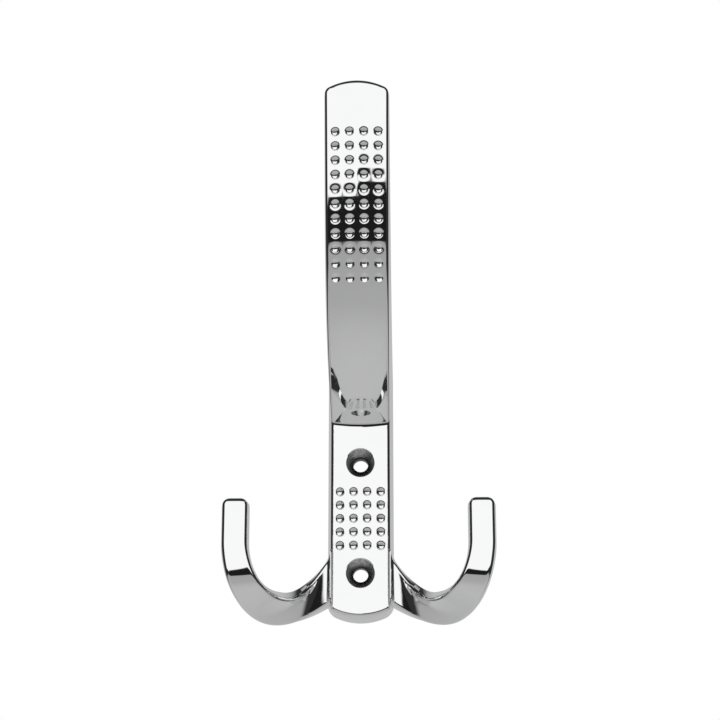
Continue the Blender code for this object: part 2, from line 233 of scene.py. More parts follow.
# %% [markdown]
# ## Floor and lamp
# The hook hangs on a wall, so the floor lies well below it and only catches a soft shadow. A large
# lamp overhead makes that shadow. The plating already sees the ground in the world, so floor and
# lamp stay out of its reflections.

# %% Floor
import bmesh

FLOOR_HEIGHT = -0.30
FLOOR_RADIUS = 2.5
FLOOR_SEGMENTS = 128
FLOOR_COLOUR = grey(0.93)
FLOOR_ROUGHNESS = 0.9

bm = bmesh.new()
bmesh.ops.create_circle(bm, cap_ends=True, segments=FLOOR_SEGMENTS, radius=FLOOR_RADIUS)
bmesh.ops.translate(bm, vec=(0.0, 0.0, FLOOR_HEIGHT), verts=bm.verts)
floor_mesh = bpy.data.meshes.new("floor")
bm.to_mesh(floor_mesh)
bm.free()
floor = bpy.data.objects.new("floor", floor_mesh)
scene.collection.objects.link(floor)
floor_paint = bpy.data.materials.new("pale_floor")
floor_paint.use_nodes = True
floor_shader = floor_paint.node_tree.nodes["Principled BSDF"]
floor_shader.inputs["Base Color"].default_value = FLOOR_COLOUR
floor_shader.inputs["Roughness"].default_value = FLOOR_ROUGHNESS
floor_shader.inputs["Specular IOR Level"].default_value = 0.0
floor_mesh.materials.append(floor_paint)
floor.visible_glossy = False
print("floor at", FLOOR_HEIGHT, "m")

# %% Lamp
LAMP_POWER = 9.0
LAMP_SIZE = 0.9
LAMP_PLACE = Vector((0.15, -0.35, 1.1))

lamp_data = bpy.data.lights.new("overhead_lamp", "AREA")
lamp_data.shape = "DISK"
lamp_data.size = LAMP_SIZE
lamp_data.energy = LAMP_POWER
lamp = bpy.data.objects.new("overhead_lamp", lamp_data)
lamp.location = LAMP_PLACE
lamp.rotation_euler = (Vector((0.0, 0.0, FLOOR_HEIGHT)) - LAMP_PLACE).to_track_quat("-Z", "Y").to_euler()
lamp.visible_glossy = False
scene.collection.objects.link(lamp)
print("lamp of", LAMP_POWER, "W")

# %% [markdown]
# ## How the skins are made
# Each piece is a thick sheet: a front face, a back face and walls between them. Such a sheet could be
# modelled by hand and bevelled, but a bevel needs room, and the dimples leave little. Here a flat grid
# is created, extruded once into a slab, and every vertex is then put where the piece's own formula
# wants it. The outer lines of the grid are kept for the rounded edge, so no bevel is needed.

# %% A slab of cells that remembers its columns and rows
GRID_LAYERS = ("column", "row", "behind")


def grid_layers(bm):
    return (bm.verts.layers.int[name] for name in GRID_LAYERS)


def new_slab(columns, rows):
    """A flat grid with a front and a back. Each vertex knows its column, its row and its side."""
    bm = bmesh.new()
    for name in GRID_LAYERS:
        bm.verts.layers.int.new(name)
    column, row, behind = grid_layers(bm)
    bmesh.ops.create_grid(bm, x_segments=columns, y_segments=rows, size=1.0)
    for vert in bm.verts:
        vert[column] = round((vert.co.x + 1.0) / 2.0 * columns)
        vert[row] = round((vert.co.y + 1.0) / 2.0 * rows)
    made = bmesh.ops.extrude_face_region(bm, geom=bm.faces[:])["geom"]
    for item in made:
        if isinstance(item, bmesh.types.BMVert):
            item[behind] = 1
    return bm


def shape_slab(bm, surface):
    """Put every vertex where surface(column, row, front_side) says."""
    column, row, behind = grid_layers(bm)
    for vert in bm.verts:
        vert.co = surface(vert[column], vert[row], vert[behind] == 0)


SHARP_ANGLE = math.radians(50)


def finish_piece(bm, name, node):
    """Make an object of the shaped sheet, smooth and outward, and let it stand for its solid."""
    bmesh.ops.recalc_face_normals(bm, faces=bm.faces[:])
    mesh = bpy.data.meshes.new(name)
    bm.to_mesh(mesh)
    bm.free()
    mesh.shade_smooth()
    mesh.set_sharp_from_angle(angle=SHARP_ANGLE)
    piece = bpy.data.objects.new(name, mesh)
    scene.collection.objects.link(piece)
    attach(piece, "root")
    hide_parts(node)
    low = [round(min(v.co[i] for v in mesh.vertices) * 1000, 1) for i in range(3)]
    high = [round(max(v.co[i] for v in mesh.vertices) * 1000, 1) for i in range(3)]
    triangles = sum(len(p.vertices) - 2 for p in mesh.polygons)
    print(name, "has", triangles, "triangles, from", low, "to", high, "mm")
    return piece


print("grid helpers ready")

# %% [markdown]
# A rounded edge is an arc that touches the face on one side and the wall on the other. If the wall
# flares out, the arc turns less than a quarter. For each step of the arc, the next helper gives how
# far inside the sharp edge it lies, and how far below the face.

# %% Rounded edges
RIM_STEPS = 6


def rim_step(step, radius, flare):
    turn = (math.pi / 2.0 - flare) * (RIM_STEPS - step) / RIM_STEPS
    reach = radius / math.tan((math.pi / 2.0 + flare) / 2.0)
    return reach - radius * math.sin(turn), radius * (1.0 - math.cos(turn))


def zone_step(step, steps, size, radius, flare):
    """The same inside a corner zone: past the arc, the lines run on evenly to the zone's inner end."""
    if step <= RIM_STEPS:
        return rim_step(step, radius, flare)
    start = rim_step(RIM_STEPS, radius, flare)[0]
    return start + (size - start) * (step - RIM_STEPS) / (steps - RIM_STEPS), 0.0


def blend(start, end, share):
    return start + (end - start) * share


def ease(share):
    """A smooth passage from 0 to 1, level outside it."""
    share = min(max(share, 0.0), 1.0)
    return share * share * (3.0 - 2.0 * share)


def ease_between(value, start, end):
    """0 at the start, 1 at the end. The start may lie above the end."""
    return ease((value - start) / (end - start))


SAMPLE_RIM, SAMPLE_FLARE = 0.75, 0.3
sample_inset = rim_step(RIM_STEPS, SAMPLE_RIM, SAMPLE_FLARE)[0]
print("an edge of", SAMPLE_RIM, "mm on a flared wall starts", round(sample_inset, 3), "mm inside")

# %% [markdown]
# A dimple is pressed into a square of cells. Its square rings are turned into circles, and each ring
# gets a radius and a depth: a wide faint skirt, a steep wall and a round bottom. The screw holes use the
# same idea with larger squares.

# %% Turn square rings into circles
def ring_of(across, along):
    """Number of a cell corner's square ring, and its angle on the circle that the ring becomes."""
    ring = max(abs(across), abs(along))
    if ring == 0:
        return 0, 0.0
    if abs(across) >= abs(along):
        angle = math.pi / 4.0 * along / across + (math.pi if across < 0 else 0.0)
    else:
        angle = math.pi / 2.0 - math.pi / 4.0 * across / along + (math.pi if along < 0 else 0.0)
    return ring, angle


DIMPLE_CELLS = 22
# Radii of a dimple's rings in millimetres, from its middle to the edge of its skirt
DIMPLE_RADII = (0.0, 0.2, 0.4, 0.6, 0.77, 0.92, 1.05, 1.15, 1.26, 1.56, 1.88)
BOWL_RADIUS, LIP_RADIUS, SKIRT_RADIUS = DIMPLE_RADII[7], DIMPLE_RADII[8], DIMPLE_RADII[10]
SKIRT_SLOPE = 0.042
LIP_STEP = 0.05
ROUND_DEPTH = 0.14
STEEP_DEPTH = 0.28
LEAN_FADE = (1.4, 0.5)
MILLIMETRE = 0.001


def dimple_depth(radius):
    """A faint cone-shaped skirt, and inside it a bowl that steepens towards its lip, in millimetres."""
    depth = SKIRT_SLOPE * (SKIRT_RADIUS - max(radius, LIP_RADIUS))
    if radius <= BOWL_RADIUS:
        share = radius / BOWL_RADIUS
        depth += LIP_STEP + ROUND_DEPTH * (1.0 - share ** 2) + STEEP_DEPTH * (1.0 - share ** 4)
    return depth


def dimple_move(across, along, lean):
    """Sideways, lengthwise and depth of a cell corner, counted in cells from a dimple's middle.

    The bottom of a dimple is tilted by the angle at which its tool leant against the surface."""
    ring, angle = ring_of(across, along)
    radius = DIMPLE_RADII[ring]
    lengthwise = radius * math.sin(angle)
    depth = dimple_depth(radius) + lengthwise * math.tan(lean) * ease_between(radius, *LEAN_FADE)
    return tuple(MILLIMETRE * n for n in (radius * math.cos(angle), lengthwise, depth))


print("a dimple is", round(dimple_depth(0.0), 2), "mm deep and has", len(DIMPLE_RADII), "rings")

# %% [markdown]
# ## The broad outline of plate and prong
# Plate and prong are both long sheets with straight sides, one end that is an arc, and soft corners
# between them. The outline below answers in flat coordinates: x across, and a distance along the
# sheet that grows towards the arc. Near the end the grid's columns fan out along the arc's radii,
# and in the corners nested quarter rings take over.

# %% Sheet with an arched end
def corner_part(near_side, near_end):
    """How far round a corner a grid point lies, from the side, 0, to the end, 1, by steps left to each."""
    return 0.5 * near_end / near_side if near_end <= near_side else 1.0 - 0.5 * near_side / near_end


class ArchedSheet:
    """Flat outline of a sheet: half width by distance, the arc at its end and its rounded edge."""

    def __init__(self, half_width, end, end_radius, corner, zone_steps, rims, side_flare, end_flare):
        self.half_width, self.end, self.end_radius, self.corner = half_width, end, end_radius, corner
        self.zone_steps, self.side_flare, self.end_flare = zone_steps, side_flare, end_flare
        self.rim, self.end_rim = rims
        self.arc_centre = end - end_radius
        self.corner_x = half_width(end) - corner
        inner = end_radius - corner
        self.corner_along = self.arc_centre + math.sqrt(inner * inner - self.corner_x ** 2)
        self.sweep = math.atan2(self.corner_along - self.arc_centre, self.corner_x)

    def side_line(self, step):
        return zone_step(step, self.zone_steps, self.corner, self.rim, self.side_flare)

    def end_line(self, step):
        return zone_step(step, self.zone_steps, self.corner, self.end_rim, self.end_flare)

    def zone_x(self, from_side, share):
        """Across the start of the end zone: share runs from -1 to 1 over the columns between corners."""
        if from_side < self.zone_steps:
            return math.copysign(self.half_width(self.corner_along) - self.side_line(from_side)[0], share)
        return share * self.corner_x

    def zone_start(self, x):
        """Where the end zone starts: an arc between the corners' centres, level outside them."""
        inner = self.end_radius - self.corner
        reach = min(abs(x), self.corner_x)
        return self.arc_centre + math.sqrt(inner * inner - reach * reach)

    def in_zone(self, from_side, from_end, share):
        """x, distance and drop below the face, in the end zone."""
        if from_side >= self.zone_steps:
            inset, drop = self.end_line(from_end)
            turn = math.asin(share * self.corner_x / (self.end_radius - self.corner))
            reach = self.end_radius - inset
            return reach * math.sin(turn), self.arc_centre + reach * math.cos(turn), drop
        part = corner_part(self.zone_steps - from_side, self.zone_steps - from_end)
        ring = min(from_side, from_end)
        flare = blend(self.side_flare, self.end_flare, ease(part))
        rim = blend(self.rim, self.end_rim, ease(part))
        inset, drop = zone_step(ring, self.zone_steps, self.corner, rim, flare)
        radius = self.corner - inset
        x = self.corner_x + radius * math.cos(part * self.sweep)
        return math.copysign(x, share), self.corner_along + radius * math.sin(part * self.sweep), drop


print("outline helper ready")

# %% [markdown]
# ## Upper prong
# The prong leaves the plate leaning far out and curves up until it is almost upright. Its front line is
# one Bezier curve in the middle plane. The front face is slightly crowned from side to side, which
# keeps reflections inside the edges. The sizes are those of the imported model, apart from the arc and
# the corners at the end, the width of the back at the tip and the place of the dimples, which follow
# the photograph.

# %% Sizes that plate and prong share
CLEARANCE = 0.0003
SCREW_SPACING = 0.032
PLATE_BACK_WIDTH = 0.0191
PLATE_FRONT_WIDTH = 0.0168
PLATE_THICKNESS = 0.0080
PLATE_END_MARGIN = 0.0117
PLATE_HALF_HEIGHT = SCREW_SPACING / 2.0 + PLATE_END_MARGIN
CROWN_RADIUS = 0.047
BACK_RIM_RADIUS = 0.0004
BACK_RIMS = (BACK_RIM_RADIUS, BACK_RIM_RADIUS)


def place(x, forward, up):
    """A point given by its distance in front of the wall and its height."""
    return Vector((x, -forward, up))


def arc_drop(x, radius):
    return radius - math.sqrt(max(radius * radius - x * x, 0.0))


def bezier(points, t):
    a, b, c, d = points
    s = 1.0 - t
    return a * s ** 3 + b * (3 * s * s * t) + c * (3 * s * t * t) + d * t ** 3


print("the plate is", PLATE_BACK_WIDTH, "m wide at the wall")

# %% Front line of the prong
from bisect import bisect_right

PRONG_REACH = 0.0517
PRONG_TOP = 0.1162
PRONG_ROOT_LEAN = math.radians(61.8)
PRONG_TIP_LEAN = math.radians(7.1)
PRONG_ROOT_PULL = 0.408
PRONG_TIP_PULL = 0.511
PRONG_TIP_FRONT_WIDTH = 0.0177
PRONG_TIP_THICKNESS = 0.0040
PRONG_END_RADIUS = 0.0200
CURVE_STEPS = 1200


def lean_direction(lean):
    return place(0.0, math.sin(lean), math.cos(lean))


crease = place(0.0, PLATE_THICKNESS, PLATE_HALF_HEIGHT)
root_direction = lean_direction(PRONG_ROOT_LEAN)
prong_end = place(0.0, PRONG_REACH, PRONG_TOP)
chord = (prong_end - crease).length
prong_curve = (crease + root_direction * CLEARANCE,
               crease + root_direction * (chord * PRONG_ROOT_PULL),
               prong_end - lean_direction(PRONG_TIP_LEAN) * (chord * PRONG_TIP_PULL),
               prong_end)
prong_spots = [bezier(prong_curve, step / CURVE_STEPS) for step in range(CURVE_STEPS + 1)]
prong_runs = [0.0]
for before, after in zip(prong_spots, prong_spots[1:]):
    prong_runs.append(prong_runs[-1] + (after - before).length)
PRONG_LENGTH = prong_runs[-1]
PRONG_ROOT_THICKNESS = (PLATE_THICKNESS - CLEARANCE) / math.cos(PRONG_ROOT_LEAN)


def prong_frame(distance):
    """Point and outward normal of the front line at a distance from its start."""
    step = min(max(bisect_right(prong_runs, distance), 1), CURVE_STEPS)
    before, after = prong_spots[step - 1], prong_spots[step]
    share = (distance - prong_runs[step - 1]) / (prong_runs[step] - prong_runs[step - 1])
    along = (after - before).normalized()
    return blend(before, after, share), Vector((0.0, -along.z, along.y))


def prong_lean(distance):
    outward = prong_frame(distance)[1]
    return math.atan2(-outward.z, -outward.y)


def prong_front(x, distance, drop):
    """A point of the crowned front, or below it by a drop along its own normal."""
    spot, outward = prong_frame(distance)
    tilt = math.asin(x / CROWN_RADIUS)
    across = Vector((1.0, 0.0, 0.0))
    normal = across * math.sin(tilt) + outward * math.cos(tilt)
    return spot + across * x - outward * arc_drop(x, CROWN_RADIUS) - normal * drop


def prong_back(x, distance, drop):
    spot, outward = prong_frame(distance)
    depth = blend(PRONG_ROOT_THICKNESS, PRONG_TIP_THICKNESS, distance / PRONG_LENGTH) - drop
    return spot + Vector((x, 0.0, 0.0)) - outward * depth


print("the prong's front line is", round(PRONG_LENGTH * 1000, 1), "mm long")

# %% [markdown]
# Between plate and prong the casting has a hollow fillet. In the skin it belongs to the plate, and the
# prong starts where the fillet ends, so both meet on a smooth stretch and no line shows there.

# %% Grid of the prong
# The seam lies where a plain fillet of this radius would end on the prong.
SEAM_FILLET = 0.0018
SEAM_DISTANCE = SEAM_FILLET * math.tan(PRONG_ROOT_LEAN / 2.0) - CLEARANCE
PRONG_CORNER = 0.0026
PRONG_RIM = 0.0009
PRONG_END_RIM = 0.0017
PRONG_TIP_BACK_WIDTH = 0.0184
PRONG_COLUMN_PITCH = 0.0040
PRONG_ROW_PITCH = 0.00412
PRONG_DIMPLE_COLUMNS = 4
PRONG_DIMPLE_ROWS = 11
PRONG_DIMPLE_LEAN = math.radians(12.5)
PRONG_DIMPLE_START = 0.0148
PRONG_DIMPLE_RUN = 0.0420
PRONG_DIMPLE_MIDDLE = PRONG_LENGTH - PRONG_DIMPLE_START - PRONG_DIMPLE_RUN / 2.0
CORNER_STEPS = 11
PLAIN_ROWS = 44
FAN_ROWS = 8
SIDE_FLARE = math.radians(18)

prong_columns = PRONG_DIMPLE_COLUMNS * DIMPLE_CELLS + 2 * (RIM_STEPS + 1)
dimple_rows = PRONG_DIMPLE_ROWS * DIMPLE_CELLS
prong_rows = PLAIN_ROWS + dimple_rows + FAN_ROWS + CORNER_STEPS
prong_field_half = PRONG_DIMPLE_ROWS * PRONG_ROW_PITCH / 2.0
dimples_start = PRONG_DIMPLE_MIDDLE - prong_field_half
dimples_end = PRONG_DIMPLE_MIDDLE + prong_field_half


def tapering(root_width, tip_width):
    """Half the width along the prong, between its root and its tip."""
    return lambda along: blend(root_width, tip_width, along / PRONG_LENGTH) / 2.0


prong_outline = {
    True: ArchedSheet(tapering(PLATE_FRONT_WIDTH, PRONG_TIP_FRONT_WIDTH), PRONG_LENGTH, PRONG_END_RADIUS,
                      PRONG_CORNER, CORNER_STEPS, (PRONG_RIM, PRONG_END_RIM), SIDE_FLARE, 0.0),
    False: ArchedSheet(tapering(PLATE_BACK_WIDTH, PRONG_TIP_BACK_WIDTH), PRONG_LENGTH, PRONG_END_RADIUS,
                       PRONG_CORNER, CORNER_STEPS, BACK_RIMS, -SIDE_FLARE / 2.0, 0.0),
}
print("the prong's grid has", prong_columns, "columns and", prong_rows, "rows")

# %% Columns of a dimpled sheet away from its end
def body_x(outline, along, column, columns, pitch):
    """x and drop of a column where the sides are straight."""
    from_side = min(column, columns - column)
    side = -1.0 if column < columns / 2.0 else 1.0
    if from_side <= RIM_STEPS:
        inset, drop = rim_step(from_side, outline.rim, outline.side_flare)
        return side * (outline.half_width(along) - inset), drop
    return (column - columns / 2.0) * pitch / DIMPLE_CELLS, 0.0


def dimple_cell(column, columns, row, first_row):
    """Cells from the middle of the dimple that a corner belongs to, or None on the squares' edges."""
    across = (column - (RIM_STEPS + 1)) % DIMPLE_CELLS - DIMPLE_CELLS // 2
    along = (row - first_row) % DIMPLE_CELLS - DIMPLE_CELLS // 2
    inside = RIM_STEPS + 1 < column < columns - RIM_STEPS - 1
    if not inside or -DIMPLE_CELLS // 2 in (across, along):
        return None
    return across, along


print("a dimple's square has", DIMPLE_CELLS, "cells on each side")

# %% Surface of the prong
def prong_surface(column, row, front_side):
    outline = prong_outline[front_side]
    from_end = prong_rows - row
    from_side = min(column, prong_columns - column)
    share = (column - prong_columns / 2.0) / (prong_columns / 2.0 - CORNER_STEPS)
    depth = 0.0
    if from_end < CORNER_STEPS:
        x, along, drop = outline.in_zone(from_side, from_end, share)
    else:
        if row <= PLAIN_ROWS:
            along = blend(SEAM_DISTANCE, dimples_start, row / PLAIN_ROWS)
        elif row <= PLAIN_ROWS + dimple_rows:
            along = blend(dimples_start, dimples_end, (row - PLAIN_ROWS) / dimple_rows)
        else:
            along = dimples_end
        x, drop = body_x(outline, along, column, prong_columns, PRONG_COLUMN_PITCH)
        fan = max(row - PLAIN_ROWS - dimple_rows, 0) / FAN_ROWS
        if fan:
            zone_x = outline.zone_x(from_side, share)
            x = blend(x, zone_x, ease(fan))
            along = blend(dimples_end, outline.zone_start(zone_x), fan)
        cell = None
        if front_side and PLAIN_ROWS < row < PLAIN_ROWS + dimple_rows:
            cell = dimple_cell(column, prong_columns, row, PLAIN_ROWS)
        if cell:
            middle = along - cell[1] * PRONG_ROW_PITCH / DIMPLE_CELLS
            sideways, lengthwise, depth = dimple_move(*cell, prong_lean(middle) - PRONG_DIMPLE_LEAN)
            x += sideways - cell[0] * PRONG_COLUMN_PITCH / DIMPLE_CELLS
            along = middle + lengthwise
    if front_side:
        return prong_front(x, along, drop + depth)
    return prong_back(x, along, drop)


prong_bm = new_slab(prong_columns, prong_rows)
shape_slab(prong_bm, prong_surface)
prong = finish_piece(prong_bm, "dimpled_prong", "upper_prong")

# %% [markdown]
# ## Wall plate
# The plate is a drafted block: wider at the wall than in front, with an arched lower end. Its front
# carries two countersunk holes and a field of dimples between them. Its grid runs downwards from
# the fillet, because the arched end of a sheet is the end that its distance grows to.

# %% Grid of the plate
PLATE_END_RADIUS = 0.0172
PLATE_BACK_END = 0.0016
PLATE_FRONT_END = 0.0007
PLATE_CORNER = 0.0018
PLATE_BACK_CORNER = 0.0042
PLATE_RIM = 0.0010
PLATE_PITCH = 0.0039
PLATE_DIMPLE_COLUMNS = 4
PLATE_DIMPLE_ROWS = 5
PLATE_DIMPLE_LEAN = math.radians(3.5)
FIELD_DROP = 0.00035
HOLE_CELLS = 54
FILLET_ROWS = 18
FILLET_FOOT = 0.0018
TOP_ROWS = 8
GAP_ROWS = 5
BOTTOM_ROWS = 8

plate_columns = PLATE_DIMPLE_COLUMNS * DIMPLE_CELLS + 2 * (RIM_STEPS + 1)
plate_cell = PLATE_PITCH / DIMPLE_CELLS
hole_half = HOLE_CELLS / 2 * plate_cell
field_half = PLATE_DIMPLE_ROWS * PLATE_PITCH / 2.0
screw = SCREW_SPACING / 2.0
FILLET_STRETCH, FIELD_STRETCH, HOLE_STRETCHES = 0, 4, (2, 6)
# Rows of each stretch, and the distances below the plate's middle where it starts and ends
plate_stretches = (
    (FILLET_ROWS, None, None),
    (TOP_ROWS, -(PLATE_HALF_HEIGHT - FILLET_FOOT), -(screw + hole_half)),
    (HOLE_CELLS, -(screw + hole_half), -(screw - hole_half)),
    (GAP_ROWS, -(screw - hole_half), FIELD_DROP - field_half),
    (PLATE_DIMPLE_ROWS * DIMPLE_CELLS, FIELD_DROP - field_half, FIELD_DROP + field_half),
    (GAP_ROWS, FIELD_DROP + field_half, screw - hole_half),
    (HOLE_CELLS, screw - hole_half, screw + hole_half),
)
plate_marks = [0]
for rows, *_ in plate_stretches:
    plate_marks.append(plate_marks[-1] + rows)
plate_rows = plate_marks[-1] + BOTTOM_ROWS + CORNER_STEPS
end_flare = math.atan2(PLATE_BACK_END - PLATE_FRONT_END, PLATE_THICKNESS)
plate_outline = {
    True: ArchedSheet(lambda along: PLATE_FRONT_WIDTH / 2.0, PLATE_HALF_HEIGHT + PLATE_FRONT_END,
                      PLATE_END_RADIUS, PLATE_CORNER, CORNER_STEPS, (PLATE_RIM, PLATE_RIM),
                      SIDE_FLARE, end_flare),
    False: ArchedSheet(lambda along: PLATE_BACK_WIDTH / 2.0, PLATE_HALF_HEIGHT + PLATE_BACK_END,
                       PLATE_END_RADIUS, PLATE_BACK_CORNER, CORNER_STEPS, BACK_RIMS,
                       -SIDE_FLARE / 2.0, -end_flare),
}
print("the plate's grid has", plate_columns, "columns and", plate_rows, "rows")

# %% [markdown]
# A countersink is a cone that ends in the bore. The list gives radius and depth in millimetres, ring by
# ring from the bore's edge outwards: a narrow land, the cone, and a soft lip where polishing has worn
# the edge.

# %% Countersunk holes
BORE_RING = 9
BORE_RADIUS = 0.0022
SINK_RINGS = ((2.20, 2.66), (2.26, 2.60), (2.34, 2.50), (2.62, 2.12), (2.92, 1.72), (3.22, 1.32),
              (3.52, 0.93), (3.80, 0.56), (4.00, 0.29), (4.10, 0.15), (4.17, 0.06), (4.24, 0.015),
              (4.34, 0.0))
SINK_OUTER_RING = BORE_RING + len(SINK_RINGS) - 1


def hole_move(across, along, front_side):
    """Sideways, lengthwise and depth of a cell corner, counted in cells from a hole's middle.

    Outside the countersink the rings pass from its circle to the square of cells."""
    ring, angle = ring_of(across, along)
    if ring > SINK_OUTER_RING:
        outer = (ring - SINK_OUTER_RING) / (HOLE_CELLS // 2 - SINK_OUTER_RING)
        radius, stretch = SINK_RINGS[-1][0] * MILLIMETRE, hole_half / ring
        return (blend(radius * math.cos(angle), across * stretch, outer),
                blend(radius * math.sin(angle), along * stretch, outer), 0.0)
    radius, depth = BORE_RADIUS * (ring / BORE_RING), SINK_RINGS[0][1] * MILLIMETRE
    if ring > BORE_RING:
        radius, depth = (n * MILLIMETRE for n in SINK_RINGS[ring - BORE_RING])
    return radius * math.cos(angle), radius * math.sin(angle), depth if front_side else 0.0


print("the countersink has", len(SINK_RINGS), "rings")

# %% [markdown]
# The fillet above the plate's front starts gently and then turns tightly up into the prong. The
# gentle part mirrors the room's dark band as a line, and the tight part keeps the rest of the turn short.

# %% Fillet between plate and prong
GENTLE_RADIUS = 0.0060
TIGHT_RADIUS = 0.0012
GENTLE_TURN = math.radians(12)
SIDE_THINNING = 0.72


def fillet_curve(x, turn):
    """Forward and up along the fillet until it has turned this far: gentle at first, then tighter.

    The tight part is full in the middle and thin at the sides."""
    tight = TIGHT_RADIUS * (1.0 - SIDE_THINNING * (x / (PLATE_FRONT_WIDTH / 2.0)) ** 2)
    gentle = min(turn, GENTLE_TURN)
    forward = GENTLE_RADIUS * (1.0 - math.cos(gentle)) + tight * (math.cos(gentle) - math.cos(turn))
    up = GENTLE_RADIUS * math.sin(gentle) + tight * (math.sin(turn) - math.sin(gentle))
    return forward, up


def fillet_spot(x, share, drop):
    """From the prong's root, share 0, round the fillet to the plate's front, share 1."""
    fall = arc_drop(x, CROWN_RADIUS)
    turn = PRONG_ROOT_LEAN * (1.0 - share)
    full_forward, full_up = fillet_curve(x, PRONG_ROOT_LEAN)
    curve_forward, curve_up = fillet_curve(x, turn)
    crease_height = PLATE_HALF_HEIGHT + fall * math.tan(PRONG_ROOT_LEAN / 2.0)
    foot = crease_height - full_up + full_forward / math.tan(PRONG_ROOT_LEAN)
    tilt = math.asin(x / CROWN_RADIUS)
    outward = place(0.0, math.cos(turn), -math.sin(turn))
    spot = place(x, PLATE_THICKNESS - fall + curve_forward, foot + curve_up)
    return spot - (Vector((1.0, 0.0, 0.0)) * math.sin(tilt) + outward * math.cos(tilt)) * drop


def fillet_row(x, row, drop, front_side):
    """The stretch from the seam below the prong down to the plate's plain front and back."""
    if row == 0:
        return prong_front(x, SEAM_DISTANCE, drop) if front_side else prong_back(x, SEAM_DISTANCE, drop)
    share = (row - 1) / (FILLET_ROWS - 1)
    if front_side:
        return fillet_spot(x, share, drop)
    top, foot = prong_back(x, 0.0, drop).z, PLATE_HALF_HEIGHT - FILLET_FOOT
    return blend(place(x, drop, top), place(x, drop, foot), share)


print("the fillet turns by", round(math.degrees(PRONG_ROOT_LEAN), 1), "degrees in", FILLET_ROWS, "rows")

# %% Surface of the plate
CROWN_FADE = 0.2 * MILLIMETRE


def plate_front(x, along, drop, depth):
    tilt = math.asin(x / CROWN_RADIUS)
    forward = PLATE_THICKNESS - arc_drop(x, CROWN_RADIUS) - drop * math.cos(tilt) - depth
    return place(x - drop * math.sin(tilt), forward, -along)


def plate_row(row):
    """Number of the stretch that a row lies in, and its share of it."""
    stretch = max(i for i, mark in enumerate(plate_marks) if mark <= row)
    if stretch >= len(plate_stretches):
        return stretch, (row - plate_marks[-1]) / BOTTOM_ROWS
    return stretch, (row - plate_marks[stretch]) / plate_stretches[stretch][0]


def plate_surface(column, row, front_side):
    outline = plate_outline[front_side]
    from_end = plate_rows - row
    from_side = min(column, plate_columns - column)
    share = (column - plate_columns / 2.0) / (plate_columns / 2.0 - CORNER_STEPS)
    if from_end < CORNER_STEPS:
        x, along, drop = outline.in_zone(from_side, from_end, share)
        return plate_front(x, along, drop, 0.0) if front_side else place(x, drop, -along)
    stretch, part = plate_row(row)
    x, drop = body_x(outline, 0.0, column, plate_columns, PLATE_PITCH)
    if stretch == FILLET_STRETCH:
        return fillet_row(x, row, drop, front_side)
    if stretch >= len(plate_stretches):
        zone_x = outline.zone_x(from_side, share)
        x = blend(x, zone_x, ease(part))
        along = blend(screw + hole_half, outline.zone_start(zone_x), part)
        return plate_front(x, along, drop, 0.0) if front_side else place(x, drop, -along)
    along = blend(plate_stretches[stretch][1], plate_stretches[stretch][2], part)
    depth = 0.0
    if stretch == FIELD_STRETCH and front_side and 0.0 < part < 1.0:
        cell = dimple_cell(column, plate_columns, row, plate_marks[FIELD_STRETCH])
        if cell:
            sideways, lengthwise, depth = dimple_move(*cell, PLATE_DIMPLE_LEAN)
            x += sideways - cell[0] * plate_cell
            along += lengthwise - cell[1] * plate_cell
    if stretch in HOLE_STRETCHES:
        across = column - plate_columns // 2
        down = row - plate_marks[stretch] - HOLE_CELLS // 2
        if max(abs(across), abs(down)) < HOLE_CELLS // 2:
            sideways, lengthwise, depth = hole_move(across, down, front_side)
            x = sideways
            along = along - down * plate_cell + lengthwise
            depth -= arc_drop(x, CROWN_RADIUS) * ease(depth / CROWN_FADE)
    return plate_front(x, along, drop, depth) if front_side else place(x, drop, -along)


plate_bm = new_slab(plate_columns, plate_rows)
shape_slab(plate_bm, plate_surface)
print("the plate has", len(plate_bm.faces), "faces before the holes are opened")

# %% [markdown]
# The bores go right through. The cells inside the bore's ring are deleted on both faces, and the two
# open rims are bridged, which makes the bore's wall.

# %% Open the bores
BORE_SLACK = 0.00002

for height in (screw, -screw):
    core = []
    for face in plate_bm.faces:
        spot = face.calc_center_median()
        if math.hypot(spot.x, spot.z - height) < BORE_RADIUS - BORE_SLACK:
            core.append(face)
    bmesh.ops.delete(plate_bm, geom=core, context="FACES")
    rims = [e for e in plate_bm.edges if e.is_boundary]
    bmesh.ops.bridge_loops(plate_bm, edges=rims)
    print("opened the bore at", height, "m with", len(rims), "rim edges")

# %% [markdown]
# The back of such a plate is cored out to save metal. Each pocket is a patch of back cells that is
# extruded into the block.

# %% Pockets in the back
POCKET_DEPTH = 0.0045
POCKET_RIB = 0.0015
POCKET_HALF_LENGTH = 0.0090
POCKET_OUTER = 0.0070
FLAT_LIMIT = 0.00001

for side in (-1.0, 1.0):
    patch = []
    for face in plate_bm.faces:
        spot = face.calc_center_median()
        across = spot.x * side
        flat = all(abs(v.co.y) < FLAT_LIMIT for v in face.verts)
        if flat and POCKET_RIB < across < POCKET_OUTER and abs(spot.z) < POCKET_HALF_LENGTH:
            patch.append(face)
    made = bmesh.ops.extrude_face_region(plate_bm, geom=patch)["geom"]
    bmesh.ops.delete(plate_bm, geom=patch, context="FACES")
    floor_verts = [v for v in made if isinstance(v, bmesh.types.BMVert)]
    bmesh.ops.translate(plate_bm, vec=(0.0, -POCKET_DEPTH, 0.0), verts=floor_verts)
    print("pocket made of", len(patch), "back cells")

plate = finish_piece(plate_bm, "drilled_plate", "wall_plate")

# %% [markdown]
# ## Side hooks
# Each side hook leaves the plate as a flared root, dips, sweeps forward and turns up into a flat arm.
# Its face is stretched between an inner and an outer edge line, each made of three Bezier legs. It
# twists on the way, so the low part looks at the ground and the arm looks at the room. Where it leaves
# the plate, the face rises in a small hollow fillet that hides the joint.

